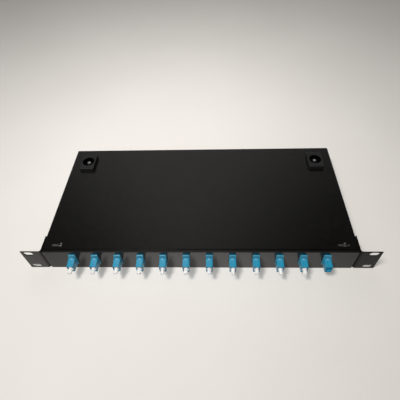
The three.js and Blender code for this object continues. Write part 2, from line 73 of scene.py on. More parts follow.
PANEL_LOW, PANEL_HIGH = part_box("front_panel")
FACE_Y = PANEL_LOW.y  # the panel's front face
REAR_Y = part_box("chassis_tray")[1].y
ADAPTER_LOW, ADAPTER_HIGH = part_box("adapter_01")
NOSE = (FACE_Y - ADAPTER_LOW.y) / MM  # reach ahead of the panel
TAIL = (ADAPTER_HIGH.y - FACE_Y) / MM
FLANGE_HEIGHT = (ADAPTER_HIGH.z - ADAPTER_LOW.z) / MM
BARREL_WIDTH = (ADAPTER_HIGH.x - ADAPTER_LOW.x) / MM


# ---------------------------------------------------------------- sizes of finer pieces, in millimetres

FLANGE_THICK = 2.2  # an adapter's flange, on the front of the panel
BARREL_HEIGHT = 13.0
PORT_WIDTH, PORT_HEIGHT = 7.5, 9.4
WEB = 1.5  # half the wall between an adapter's front and rear ports
KEYWAY_WIDTH, KEYWAY_DEPTH = 2.6, 0.9
CONTACT_LENGTH, CONTACT_WIDTH = 34.0, 11.0  # the bare patch under a cover slot
CONTACT_FADE = 0.3
PAD_WELL = 9.2  # radius of the round well in a corner pad
PORT_PITCH = 31.3
COMB_PITCH = 3.4  # between two splice sleeves in the comb
PLUG_LENGTH, BOOT_LENGTH, SLEEVE_LENGTH = 16.5, 13.0, 40.0


# ---------------------------------------------------------------- materials

BLUE_SHADES = (0.014, 0.240, 0.400), (0.022, 0.290, 0.465)
RUBBER_SHADES = (0.0070, 0.0070, 0.0073), (0.0110, 0.0110, 0.0115)
PANEL_LIT_MIDDLE = 0.010  # x where the panel's reflection is brightest, in metres; toward the ends it is turned down as painted shade
SHADE_FROM, SHADE_TO = 0.04, 0.21  # how far from there the painted shade starts to grow and stops growing


class Nodes:
    """Arithmetic in a node tree, on the position or direction that self.where gives."""

    def __init__(self, tree, coordinates):
        self.tree = tree
        self.where = tree.nodes.new("ShaderNodeTexCoord").outputs[coordinates]

    def link(self, source, target):
        self.tree.links.new(source, target)

    def spread(self, value, low, high, start=0.3, end=0.7, kind="LINEAR"):
        """Turns a value between start and end into a number between low and high."""
        node = self.tree.nodes.new("ShaderNodeMapRange")
        node.interpolation_type = kind
        for name, number in (("From Min", start), ("From Max", end), ("To Min", low), ("To Max", high)):
            node.inputs[name].default_value = number
        self.link(value, node.inputs["Value"])
        return node.outputs["Result"]

    def math(self, operation, first, second=0.0):
        node = self.tree.nodes.new("ShaderNodeMath")
        node.operation = operation
        for socket, value in zip(node.inputs, (first, second)):
            if isinstance(value, (int, float)):
                socket.default_value = value
            else:
                self.link(value, socket)
        return node.outputs["Value"]

    def axis(self, name):
        node = self.tree.nodes.new("ShaderNodeSeparateXYZ")
        self.link(self.where, node.inputs["Vector"])
        return node.outputs[name]

    def bell(self, centre, width):
        """1 where x is at centre, falling smoothly to the sides."""
        offset = self.math("DIVIDE", self.math("SUBTRACT", self.axis("X"), centre), width)
        squared = self.math("MULTIPLY", offset, offset)
        return self.math("EXPONENT", self.math("MULTIPLY", squared, -1.0))


class Shader(Nodes):
    """A node material with one Principled surface, in the coordinates of the piece's own mesh."""

    def __init__(self, name):
        self.material = bpy.data.materials.new(name)
        self.material.use_nodes = True
        super().__init__(self.material.node_tree, "Object")
        self.surface = self.tree.nodes["Principled BSDF"]

    def set(self, **inputs):
        """Gives inputs of the surface their values; an underscore stands for a space in an input's name."""
        for name, value in inputs.items():
            self.surface.inputs[name.replace("_", " ")].default_value = value
        return self

    def noise(self, size_mm, detail=2.0, stretch=(1, 1, 1)):
        """Noise whose features are about size_mm across, packed closer along an axis by its stretch."""
        mapping = self.tree.nodes.new("ShaderNodeMapping")
        mapping.inputs["Scale"].default_value = stretch
        self.link(self.where, mapping.inputs["Vector"])
        texture = self.tree.nodes.new("ShaderNodeTexNoise")
        texture.inputs["Scale"].default_value = 1 / (size_mm * MM)
        texture.inputs["Detail"].default_value = detail
        self.link(mapping.outputs["Vector"], texture.inputs["Vector"])
        return texture.outputs["Fac"]

    def colour(self, value, low, high):
        """Turns a 0 to 1 value into a base colour between low and high."""
        node = self.tree.nodes.new("ShaderNodeValToRGB")
        for element, position, shade in zip(node.color_ramp.elements, (0.35, 0.65), (low, high)):
            element.position = position
            element.color = (*shade, 1)
        self.link(value, node.inputs["Fac"])
        self.link(node.outputs["Color"], self.surface.inputs["Base Color"])

    def rough(self, value, low, high):
        self.link(self.spread(value, low, high), self.surface.inputs["Roughness"])

    def within(self, name, centre, half, fade):
        """1 where a coordinate is within half of centre, fading to 0 just outside."""
        away = self.math("ABSOLUTE", self.math("SUBTRACT", self.axis(name), centre))
        return self.spread(away, 1, 0, half, half + fade)

    def change(self, mask, **inputs):
        """Where mask is 1, gives these inputs new values; where it is 0, leaves what they have."""
        for name, value in inputs.items():
            target = self.surface.inputs[name.replace("_", " ")]
            node = self.tree.nodes.new("ShaderNodeMix")
            node.data_type = "RGBA" if isinstance(value, tuple) else "FLOAT"
            ends = [socket for socket in node.inputs if socket.enabled and socket.name in "AB"]
            if target.is_linked:
                self.link(target.links[0].from_socket, ends[0])
            else:
                ends[0].default_value = target.default_value
            ends[1].default_value = (*value, 1) if isinstance(value, tuple) else value
            self.link(mask, node.inputs["Factor"])
            self.link(next(socket for socket in node.outputs if socket.enabled), target)
        return self

    def bump(self, *layers):
        """Layers of (height value, depth in millimetres), laid over each other."""
        normal = None
        for value, depth_mm in layers:
            node = self.tree.nodes.new("ShaderNodeBump")
            node.inputs["Strength"].default_value = 1.0
            node.inputs["Distance"].default_value = depth_mm * MM
            self.link(value, node.inputs["Height"])
            if normal is not None:
                self.link(normal, node.inputs["Normal"])
            normal = node.outputs["Normal"]
        self.link(normal, self.surface.inputs["Normal"])
        return self


def powder_coat(name, dark, light, rough_low, rough_high, ior=1.5):
    """Semi-gloss powder coat: a fine orange peel over slow waves, with faint handling haze."""
    s = Shader(name).set(IOR=ior)
    s.colour(s.noise(9, detail=5), dark, light)
    s.rough(s.noise(45, detail=4), rough_low, rough_high)
    s.bump((s.noise(1.1, detail=3), 0.011), (s.noise(0.32), 0.004), (s.noise(7), 0.02))
    return s


def body_paint():
    """The coat on the tray and the cover."""
    return powder_coat("body_paint", (0.0028, 0.0026, 0.0025), (0.0044, 0.0040, 0.0038), 0.19, 0.26)


def panel_paint():
    """A glossier coat for the front panel. The reflection of its face is turned down toward its ends, painted
    shade where the panel lies darker there.
    """
    s = powder_coat("panel_paint", (0.0028, 0.0025, 0.0024), (0.0046, 0.0042, 0.0040), 0.13, 0.19, 1.60)
    away = s.math("ABSOLUTE", s.math("SUBTRACT", s.axis("X"), PANEL_LIT_MIDDLE))
    face = s.spread(s.axis("Y"), 1, 0, FACE_Y + 0.3 * MM, FACE_Y + 1.2 * MM)
    # Painted shade: the face's reflection is turned down toward both ends.
    painted_shade = s.math("MULTIPLY", s.spread(away, 0, 1, SHADE_FROM, SHADE_TO), face)
    return s.change(painted_shade, Specular_IOR_Level=0.16)


def ear_paint():
    """The ears' own, thinner coat: duller. Its reflection is turned down further toward the right ear, painted
    shade where that ear lies darker.
    """
    s = powder_coat("ear_paint", (0.0046, 0.0034, 0.0026), (0.0074, 0.0058, 0.0046), 0.17, 0.24, 1.50)
    s.set(Specular_IOR_Level=0.27)
    # Painted shade: the reflection is turned down across to the right ear.
    return s.change(s.spread(s.axis("X"), 0, 1, -0.10, 0.10), Specular_IOR_Level=0.11)


def panel_paint_with_contacts():
    """The front panel's paint, masked off under each cover screw so that bare steel earths the cover."""
    s = panel_paint()
    patches = []
    # The left patch is fully bare; the right one is bared only in part, painted shade where the right slot
    # lies in dimmer light.
    for hand, bareness_with_shade in (("left", 1.0), ("right", 0.35)):
        at = middle(f"cover_screw_{hand}")
        across = s.within("X", at.x, CONTACT_LENGTH / 2 * MM, CONTACT_FADE * MM)
        along = s.within("Y", at.y, CONTACT_WIDTH / 2 * MM, CONTACT_FADE * MM)
        patches.append(s.math("MULTIPLY", s.math("MULTIPLY", across, along), bareness_with_shade))
    top = s.spread(s.axis("Z"), 0, 1, PANEL_HIGH.z - 0.9 * MM, PANEL_HIGH.z - 0.6 * MM)
    bare = s.math("MULTIPLY", s.math("MAXIMUM", *patches), top)
    return s.change(bare, Base_Color=(0.20, 0.193, 0.180), Metallic=0.9, Roughness=0.42)


def blue_plastic(name, dark, light):
    s = Shader(name).set(IOR=1.46)
    s.colour(s.noise(4, detail=3), dark, light)
    s.rough(s.noise(1.5, detail=3), 0.24, 0.36)
    return s.bump((s.noise(0.25), 0.004), (s.noise(3), 0.012))


def adapter_plastic():
    """Blue plastic, with painted light on the flange, which is paler, and painted shade round the mouth of the
    port, which is darker.
    """
    s = blue_plastic("adapter_blue", *BLUE_SHADES)
    # Painted light: the flange is paler, where the lamp and room light fall on its front.
    flange = s.within("Y", -FLANGE_THICK / 2 * MM, (FLANGE_THICK / 2 + 0.3) * MM, 0.2 * MM)
    s.change(flange, Base_Color=(0.045, 0.290, 0.440))
    # Painted shade: the nose's front face and the mouth of the port are darker, where shade falls into the
    # port.
    mouth = s.spread(s.axis("Y"), 1, 0, (0.10 - NOSE) * MM, (0.25 - NOSE) * MM)
    return s.change(mouth, Base_Color=(0.003, 0.060, 0.125), Specular_IOR_Level=0.3)


def white_cap():
    """Milky polyethylene: light soaks into it."""
    s = Shader("cap_white").set(IOR=1.42, Transmission_Weight=0.3)
    s.set(Subsurface_Weight=0.5, Subsurface_Radius=(0.0024, 0.0027, 0.0030))
    s.colour(s.noise(3, detail=3), (0.92, 0.93, 0.93), (0.97, 0.98, 0.98))
    s.rough(s.noise(1.2, detail=2), 0.30, 0.42)
    return s.bump((s.noise(0.4), 0.005), (s.noise(2.5), 0.02)).material


def rubber(name):
    s = Shader(name).set(IOR=1.48)
    s.colour(s.noise(2.5, detail=5), *RUBBER_SHADES)
    s.rough(s.noise(6, detail=3), 0.50, 0.66)
    return s.bump((s.noise(0.3, detail=2), 0.012), (s.noise(1.6), 0.012))


def pad_rubber():
    """Rubber whose round well is painted near black and matt, painted shade in its depth."""
    s = rubber("pad_rubber")
    across, along = s.axis("X"), s.axis("Y")
    squared = s.math("ADD", s.math("MULTIPLY", across, across), s.math("MULTIPLY", along, along))
    # Painted shade: the well is near black, where shade falls into it.
    well = s.spread(s.math("SQRT", squared), 1, 0, (PAD_WELL - 0.1) * MM, (PAD_WELL + 0.2) * MM)
    return s.change(well, Base_Color=(0.0006, 0.0006, 0.0006), Roughness=0.95, Specular_IOR_Level=0.04)


def zinc():
    """Bright zinc-plated steel with faint turning marks."""
    s = Shader("zinc_steel").set(Metallic=1.0)
    s.colour(s.noise(0.8, detail=4), (0.60, 0.59, 0.57), (0.78, 0.78, 0.77))
    s.rough(s.noise(0.5, detail=3), 0.20, 0.36)
    return s.bump((s.noise(0.22, detail=2), 0.006)).material


def black_oxide():
    """Blackened steel, worn to a dark metal."""
    s = Shader("black_steel").set(Metallic=1.0)
    s.colour(s.noise(0.9, detail=4), (0.260, 0.255, 0.250), (0.360, 0.355, 0.350))
    s.rough(s.noise(0.6, detail=2), 0.18, 0.28)
    return s.bump((s.noise(0.2, detail=2), 0.005)).material


def spring_steel():
    """The bright rolled strip of an adapter's clip, with its grain."""
    s = Shader("spring_steel").set(Metallic=1.0)
    s.colour(s.noise(2, detail=3), (0.50, 0.50, 0.50), (0.66, 0.66, 0.65))
    s.rough(s.noise(0.8, detail=2, stretch=(1, 1, 9)), 0.22, 0.38)
    return s.bump((s.noise(0.25, stretch=(1, 1, 12)), 0.005)).material


def satin_plastic(name, dark, light):
    s = Shader(name).set(IOR=1.48)
    s.colour(s.noise(14, detail=4), dark, light)
    s.rough(s.noise(5, detail=3), 0.38, 0.52)
    return s.bump((s.noise(0.35), 0.006)).material


def clear_lid():
    s = Shader("lid_plastic").set(IOR=1.49, Transmission_Weight=0.92)
    s.colour(s.noise(20, detail=3), (0.80, 0.86, 0.90), (0.88, 0.92, 0.95))
    s.rough(s.noise(12, detail=3), 0.06, 0.16)
    return s.bump((s.noise(18, detail=2), 0.05)).material


def foam():
    s = Shader("comb_foam")
    s.colour(s.noise(0.5, detail=3), (0.060, 0.064, 0.070), (0.120, 0.125, 0.135))
    s.rough(s.noise(2, detail=2), 0.85, 0.95)
    return s.bump((s.noise(0.35, detail=3), 0.05)).material


def ceramic():
    s = Shader("zirconia").set(IOR=1.9)
    s.colour(s.noise(1, detail=2), (0.80, 0.79, 0.75), (0.88, 0.87, 0.84))
    s.rough(s.noise(0.8, detail=2), 0.10, 0.18)
    return s.bump((s.noise(0.3), 0.002)).material


def shrink_sleeve():
    """The clear heat-shrunk tube over a splice, streaked along its length."""
    s = Shader("splice_sleeve").set(IOR=1.45, Transmission_Weight=0.45)
    s.colour(s.noise(2, detail=2, stretch=(1, 0.1, 1)), (0.55, 0.57, 0.58), (0.80, 0.82, 0.83))
    s.rough(s.noise(2, detail=2), 0.18, 0.30)
    return s.bump((s.noise(1.5, stretch=(1, 0.2, 1)), 0.02)).material


# Jacket colours in the standard order of fibre colours.
JACKETS = {
    "01": (0.013, 0.115, 0.456),
    "02": (0.745, 0.198, 0.016),
    "03": (0.028, 0.323, 0.070),
    "04": (0.195, 0.068, 0.023),
    "05": (0.258, 0.292, 0.323),
    "06": (0.840, 0.831, 0.768),
    "07": (0.539, 0.024, 0.024),
    "08": (0.017, 0.017, 0.017),
    "09": (0.768, 0.584, 0.042),
    "10": (0.147, 0.050, 0.309),
    "11": (0.694, 0.319, 0.381),
    "12": (0.115, 0.527, 0.552),
}


def jacket(port):
    colour = JACKETS[port]
    s = Shader(f"fibre_jacket_{port}").set(IOR=1.46)
    shade = tuple(0.86 * channel for channel in colour)
    s.colour(s.noise(3, detail=3), shade, colour)
    s.rough(s.noise(4, detail=2), 0.34, 0.46)
    return s.bump((s.noise(0.4), 0.004)).material


BODY_PAINT = body_paint().material
PANEL_PAINT = panel_paint_with_contacts().material
EAR_PAINT = ear_paint().material
BLUE = adapter_plastic().material
PLUG_BLUE = blue_plastic("plug_blue", *BLUE_SHADES).material
# The latch frames' paler blue is a painted highlight, where their ramps catch the lamp.
LATCH_BLUE_HIGHLIGHT = blue_plastic("latch_blue_painted_highlight", (0.080, 0.300, 0.470), (0.110, 0.360, 0.540)).material
CAP = white_cap()
PAD_RUBBER = pad_rubber().material
GROMMET_RUBBER = rubber("grommet_rubber").material
ZINC = zinc()
BLACK_STEEL = black_oxide()
SPRING_STEEL = spring_steel()
TRAY_PLASTIC = satin_plastic("tray_plastic", (0.66, 0.65, 0.61), (0.74, 0.73, 0.69))
BOOT_PLASTIC = satin_plastic("boot_white", (0.70, 0.70, 0.68), (0.80, 0.80, 0.78))
LID = clear_lid()
FOAM = foam()
CERAMIC = ceramic()
SLEEVE = shrink_sleeve()


# ---------------------------------------------------------------- mesh building


def rounded_outline(width, height, radius, steps=5, notch=None):
    """Points (u, v) round a rectangle with rounded corners.

    A notch is the (width, depth) of a keyway that stands up from the top edge.
    """
    points = []
    for turn, (su, sv) in enumerate(((1, 1), (-1, 1), (-1, -1), (1, -1))):
        cu, cv = su * (width / 2 - radius), sv * (height / 2 - radius)
        for step in range(steps + 1):
            angle = math.pi / 2 * (turn + step / steps)
            points.append((cu + radius * math.cos(angle), cv + radius * math.sin(angle)))
        if turn == 0 and notch is not None:
            half, top = notch[0] / 2, height / 2
            points += [(half, top), (half, top + notch[1]), (-half, top + notch[1]), (-half, top)]
    return points


def circle_outline(radius, count, start=0.0):
    """Points (u, v) round a circle, from the angle start."""
    return [
        (radius * math.cos(start + math.tau * i / count), radius * math.sin(start + math.tau * i / count))
        for i in range(count)
    ]


def lay(points, axis, along, centre=(0, 0, 0)):
    """Stands an outline across an axis: (x, z) across y, (x, y) across z, (y, z) across x."""
    cx, cy, cz = centre
    if axis == "y":
        return [Vector((cx + u, cy + along, cz + v)) for u, v in points]
    if axis == "z":
        return [Vector((cx + u, cy + v, cz + along)) for u, v in points]
    return [Vector((cx + along, cy + u, cz + v)) for u, v in points]


class Builder:
    """Collects closed shells, in millimetres, into one mesh object with a material for each shell."""

    def __init__(self, name):
        self.name = name
        self.mesh = bmesh.new()
        self.materials = []

    def index(self, material):
        """The number of a material's slot, which is added when it is new."""
        if material not in self.materials:
            self.materials.append(material)
        return self.materials.index(material)

    def loft(self, rings, material, closed=False):
        """Skins a run of rings of the same length. An open run is capped at both ends."""
        shell = bmesh.new()
        rows = [[shell.verts.new(p) for p in ring] for ring in rings]
        pairs = list(zip(rows, rows[1:] + rows[:1])) if closed else list(zip(rows, rows[1:]))
        count = len(rows[0])
        for near, far in pairs:
            for i in range(count):
                j = (i + 1) % count
                shell.faces.new((near[i], near[j], far[j], far[i]))
        if not closed:
            shell.faces.new(rows[0])
            shell.faces.new(rows[-1])
        self.absorb(shell, material)

    def turned(self, profile, axis, material, centre=(0, 0, 0), count=40, closed=False):
        """A profile of (radius, distance) turned about an axis."""
        rings = [lay(circle_outline(max(r, 1e-4), count), axis, a, centre) for r, a in profile]
        self.loft(rings, material, closed)

    def prism(self, outline, axis, start, end, material, centre=(0, 0, 0), chamfer=0.0):
        """An outline pushed along an axis, with its end edges eased by scaling them in."""
        size = max(abs(c) for point in outline for c in point)
        inner = [(u * (1 - chamfer / size), v * (1 - chamfer / size)) for u, v in outline]
        rings = [lay(outline, axis, start + chamfer, centre), lay(outline, axis, end - chamfer, centre)]
        if chamfer:
            rings = [lay(inner, axis, start, centre), *rings, lay(inner, axis, end, centre)]
        self.loft(rings, material)

    def tube(self, points, radius, material):
        """A round bar swept along points, without twist."""
        path = [Vector(p) for p in points]
        side = Vector((1, 0, 0))
        rings = []
        for i, here in enumerate(path):
            along = (path[min(i + 1, len(path) - 1)] - path[max(i - 1, 0)]).normalized()
            side = (side - along * side.dot(along)).normalized()
            up = along.cross(side)
            rings.append([here + side * u + up * v for u, v in circle_outline(radius, 12)])
        self.loft(rings, material)

    def absorb(self, shell, material):
        """Takes in a shell, less its doubled points and empty faces."""
        bmesh.ops.remove_doubles(shell, verts=shell.verts, dist=1e-3)
        flat = [f for f in shell.faces if f.calc_area() < 1e-9]
        bmesh.ops.delete(shell, geom=flat, context="FACES_ONLY")
        bmesh.ops.recalc_face_normals(shell, faces=shell.faces)
        slot = self.index(material)
        copies = {v: self.mesh.verts.new(v.co) for v in shell.verts}
        for face in shell.faces:
            self.mesh.faces.new([copies[v] for v in face.verts]).material_index = slot
        shell.free()

    def cut(self, cutter):
        """Takes another builder's shape out of this one."""
        whole, tool = self.raw("whole"), cutter.raw("tool")
        modifier = whole.modifiers.new("cut", "BOOLEAN")
        modifier.operation, modifier.solver, modifier.object = "DIFFERENCE", "EXACT", tool
        evaluated = whole.evaluated_get(bpy.context.evaluated_depsgraph_get())
        mesh = bpy.data.meshes.new_from_object(evaluated)
        self.mesh = bmesh.new()
        self.mesh.from_mesh(mesh)
        for spare in (whole, tool):
            data = spare.data
            bpy.data.objects.remove(spare)
            bpy.data.meshes.remove(data)
        bpy.data.meshes.remove(mesh)

    def raw(self, suffix):
        """The mesh so far as an object of its own, in millimetres."""
        mesh = bpy.data.meshes.new(f"{self.name}_{suffix}")
        self.mesh.to_mesh(mesh)
        self.mesh.free()
        for material in self.materials:
            mesh.materials.append(material)
        made = bpy.data.objects.new(mesh.name, mesh)
        bpy.context.scene.collection.objects.link(made)
        bpy.context.view_layer.update()
        return made

    def data(self):
        """The finished mesh, in metres."""
        mesh = bpy.data.meshes.new(self.name)
        bmesh.ops.transform(self.mesh, matrix=Matrix.Scale(MM, 4), verts=self.mesh.verts)
        self.mesh.to_mesh(mesh)
        self.mesh.free()
        for material in self.materials:
            mesh.materials.append(material)
        soften(mesh)
        return mesh


def soften(mesh):
    """Smooth shading, with an edge kept sharp where the surface turns by more than SMOOTH_ANGLE."""
    mesh.polygons.foreach_set("use_smooth", [True] * len(mesh.polygons))
    mesh.set_sharp_from_angle(angle=SMOOTH_ANGLE)


def put(mesh, name, node, location, rotation=(0, 0, 0)):
    """Stands a finished mesh in place of a CAD node, riding on that node's body."""
    piece = bpy.data.objects.new(name, mesh)
    bpy.context.scene.collection.objects.link(piece)
    piece.location = location
    piece.rotation_euler = Euler(rotation)
    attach(piece, BODY_OF[node])
    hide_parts(node)


def finish_node(node, material, edge_mm):
    """Keeps a CAD node's own shape, eases its sharp edges and paints it."""
    piece = nodes[node]
    piece.data.materials.clear()
    piece.data.materials.append(material)
    soften(piece.data)
    bevel = piece.modifiers.new("eased_edges", "BEVEL")
    bevel.width = edge_mm * MM
    bevel.segments = 3
    bevel.limit_method = "ANGLE"
    bevel.angle_limit = math.radians(40)
    bevel.harden_normals = True
    bevel.use_clamp_overlap = True


# ---------------------------------------------------------------- adapters and caps


def adapter_mesh():
    """A square adapter with a port at each end. Its origin is on the panel's front face."""
    b = Builder("sc_adapter")
    mid = (TAIL - NOSE) / 2

    def ring(y, width, height, radius, keyway=0.0):
        return lay(rounded_outline(width, height, radius, notch=(KEYWAY_WIDTH, keyway)), "y", y)

    w, h = BARREL_WIDTH, BARREL_HEIGHT
    b.loft(
        [
            ring(mid + WEB, PORT_WIDTH, PORT_HEIGHT, 0.3),
            ring(TAIL - 0.5, PORT_WIDTH, PORT_HEIGHT, 0.3),
            ring(TAIL, PORT_WIDTH + 0.8, PORT_HEIGHT + 0.8, 0.6),
            ring(TAIL, w - 0.5, h - 0.5, 0.5),
            ring(TAIL - 0.25, w, h, 0.6),
            ring(0.0, w, h, 0.6),
            ring(0.0, w, FLANGE_HEIGHT - 0.5, 0.8),
            ring(-0.25, w, FLANGE_HEIGHT, 1.0),
            ring(-FLANGE_THICK / 2, w, FLANGE_HEIGHT, 1.0),
            ring(-FLANGE_THICK / 2 - 0.4, w, FLANGE_HEIGHT - 0.35, 0.9),
            ring(-FLANGE_THICK - 1.0, w, h + 0.2, 0.7),
            ring(-FLANGE_THICK - 1.5, w, h, 0.6),
            ring(-6.2, w, h, 0.6),
            ring(-6.5, w - 0.3, h - 0.3, 0.6),
            ring(-NOSE + 0.45, w - 0.4, h - 0.4, 0.7),
            ring(-NOSE + 0.12, w - 0.65, h - 0.65, 0.7),
            ring(-NOSE, w - 1.0, h - 1.0, 0.7),
            ring(-NOSE, PORT_WIDTH + 0.5, PORT_HEIGHT + 0.5, 0.5, KEYWAY_DEPTH),
            ring(-NOSE + 0.3, PORT_WIDTH, PORT_HEIGHT, 0.3, KEYWAY_DEPTH),
            ring(mid - 6.0, PORT_WIDTH, PORT_HEIGHT, 0.3, KEYWAY_DEPTH),
            ring(mid - 6.0, PORT_WIDTH, PORT_HEIGHT, 0.3),
            ring(mid - WEB, PORT_WIDTH, PORT_HEIGHT, 0.3),
        ],
        BLUE,
    )
    latch_frames(b, h)
    clip(b)
    for way in (-1, 1):
        socket(b, mid, way)
    return b.data()


def latch_frames(b, height):
    """The moulded latch window frame on the top and the bottom of the front half."""
    low, full = rounded_outline(4.6, 0.3, 0.1, 2), rounded_outline(4.2, 1.8, 0.35, 2)
    for side in (-1, 1):
        at = (0, 0, side * (height / 2 - 0.1))
        stations = ((low, 3.0), (full, 0.9), (full, -0.3))
        # Painted highlight: the frames take the paler latch blue.
        b.loft([lay(outline, "y", -FLANGE_THICK - ahead, at) for outline, ahead in stations], LATCH_BLUE_HIGHLIGHT)


def clip(b):
    """The sprung steel clip that wraps the rear half and grips the panel from behind."""
    for side in (-1, 1):
        x = side * (BARREL_WIDTH / 2 + 0.12)
        strip = rounded_outline(0.25, BARREL_HEIGHT - 1, 0.1, 1)
        b.prism(strip, "y", 2.0, 8.0, SPRING_STEEL, (x, 0, 0))
        tongue = rounded_outline(0.25, 4.4, 0.1, 1)
        b.loft(
            [
                lay(tongue, "y", 7.6, (x, 0, 0)),
                lay(tongue, "y", 5.2, (x + side * 0.5, 0, 0)),
                lay(tongue, "y", 2.1, (x + side * 1.35, 0, 0)),
            ],
            SPRING_STEEL,
        )


def socket(b, mid, way):
    """The sleeve holder in a port: a barrel with a ceramic sleeve, and a latch arm above and below it."""
    base, tip = mid + way * WEB, mid + way * 7.5
    b.turned(
        [
            (2.35, base - way * 0.5),
            (2.35, tip - way * 0.4),
            (2.1, tip),
            (1.75, tip),
            (1.75, base - way * 0.5),
        ],
        "y",
        BLUE,
        count=28,
        closed=True,
    )
    b.turned(
        [
            (1.7, base - way * 0.4),
            (1.7, tip - way * 0.7),
            (1.26, tip - way * 0.7),
            (1.26, base - way * 0.4),
        ],
        "y",
        CERAMIC,
        count=28,
        closed=True,
    )
    for side in (-1, 1):
        z = side * 3.9
        arm = rounded_outline(3.0, 0.7, 0.15, 2)
        hook = rounded_outline(3.0, 1.5, 0.3, 2)
        b.loft(
            [
                lay(arm, "y", base - way * 0.5, (0, 0, z)),
                lay(arm, "y", base + way * 4.6, (0, 0, z)),
                lay(hook, "y", base + way * 5.0, (0, 0, z - side * 0.35)),
                lay(hook, "y", base + way * 5.5, (0, 0, z - side * 0.35)),
                lay(arm, "y", base + way * 6.4, (0, 0, z)),
            ],
            BLUE,
        )


def cap_mesh():
    """A hollow stub with a guide skirt that fills the port. Its origin is on the adapter's nose."""
    low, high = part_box("dust_cap_01")
    length = (ADAPTER_LOW.y - low.y) / MM
    depth = (high.y - ADAPTER_LOW.y) / MM
    width, height = (high.x - low.x) / MM, (high.z - low.z) / MM
    front = 1.2  # the skirt starts this far inside the port
    count = len(rounded_outline(width, height, 0.6))  # every ring of a loft has as many points
    b = Builder("dust_cap")

    def ring(y, w, h, radius):
        return lay(rounded_outline(w, h, radius), "y", y)

    def disc(y, radius):
        return lay(circle_outline(radius, count), "y", y)

    b.loft(
        [
            disc(-length + 0.9, 1.1),
            disc(-length + 0.25, 1.3),
            disc(-length, 1.65),
            disc(-length, 2.1),
            disc(-length + 0.2, 2.45),
            disc(-length + 0.8, 2.66),
            disc(-length + 2.2, 2.7),
            disc(-length + 2.6, 2.58),
            disc(-length + 3.8, 2.55),
            disc(-length + 4.2, 2.68),
            disc(front - 0.5, 2.7),
            disc(front, 2.95),
            ring(front, width - 0.5, height - 0.5, 0.5),
            ring(front + 0.3, width, height, 0.6),
            ring(depth - 0.5, width, height, 0.6),
            ring(depth, width - 0.6, height - 0.6, 0.5),
            ring(depth, width - 1.7, height - 1.7, 0.4),
            ring(front + 1.8, width - 1.8, height - 1.8, 0.4),
        ],
        CAP,
    )
    return b.data()


def add_adapters_and_caps():
    shell, cap = adapter_mesh(), cap_mesh()
    for port in PORTS:
        centre = middle(f"adapter_{port}")
        put(shell, f"adapter_{port}_shell", f"adapter_{port}", (centre.x, FACE_Y, centre.z))
        if f"dust_cap_{port}" in nodes:
            place = (centre.x, ADAPTER_LOW.y, centre.z)
            put(cap, f"dust_cap_{port}_stub", f"dust_cap_{port}", place)


# ---------------------------------------------------------------- screws


def cross_cutter(arm, half, top, bottom, axis, material):
    """A tapered cross recess, pointing down its axis."""
    tool = Builder("cross")
    for u, v in ((arm, half), (half, arm)):
        wide = [(u, v), (-u, v), (-u, -v), (u, -v)]
        deep = [(u * 0.55, v * 0.55) for u, v in wide]
        tool.loft([lay(wide, axis, top), lay(deep, axis, bottom)], material)
    return tool


def pan_screw_mesh(name, head, height, shank, length, material):
    """A pan-head screw seated at height 0, with a rolled rim and a threaded shank."""
    b = Builder(name)
    b.turned(
        [
            (shank, 0.0),
            (head - 0.25, 0.0),
            (head, 0.2),
            (head, height * 0.38),
            (head - 0.12, height * 0.62),
            (head * 0.86, height * 0.84),
            (head * 0.6, height * 0.96),
            (head * 0.3, height),
            (0.02, height),
        ],
        "z",
        material,
        count=48,
    )
    b.cut(cross_cutter(head * 0.56, head * 0.11, height + 0.3, height * 0.3, "z", material))
    threaded_shank(b, shank, 0.2, -length, "z", material)
    return b.data()


def threaded_shank(b, radius, start, end, axis, material):
    """Stacked thread ridges down an axis, from start to end, with a pointed tip."""
    pitch = radius / 3
    root = radius * 0.82
    profile = [(root, start)]
    for ridge in range(1, int((start - end) / pitch) - 2):
        crest = start - pitch * ridge
        profile += [(root, crest + pitch * 0.45), (radius * 0.99, crest), (root, crest - pitch * 0.45)]
    profile += [(radius * 0.7, end + 0.3), (radius * 0.5, end)]
    b.turned(profile, axis, material, count=24)


def countersunk_mesh(radius, depth, shank, length):
    """A countersunk screw whose flat top faces +x at the origin."""
    b = Builder("countersunk_screw")
    b.turned(
        [
            (shank, -depth - 0.3),
            (shank, -depth),
            (radius - 0.15, -0.25),
            (radius, -0.1),
            (radius - 0.1, 0.0),
            (0.02, 0.0),
        ],
        "x",
        BLACK_STEEL,
        count=48,
    )
    b.cut(cross_cutter(1.5, 0.35, 0.2, -0.9, "x", BLACK_STEEL))
    threaded_shank(b, shank, -depth, -length, "x", BLACK_STEEL)
    return b.data()


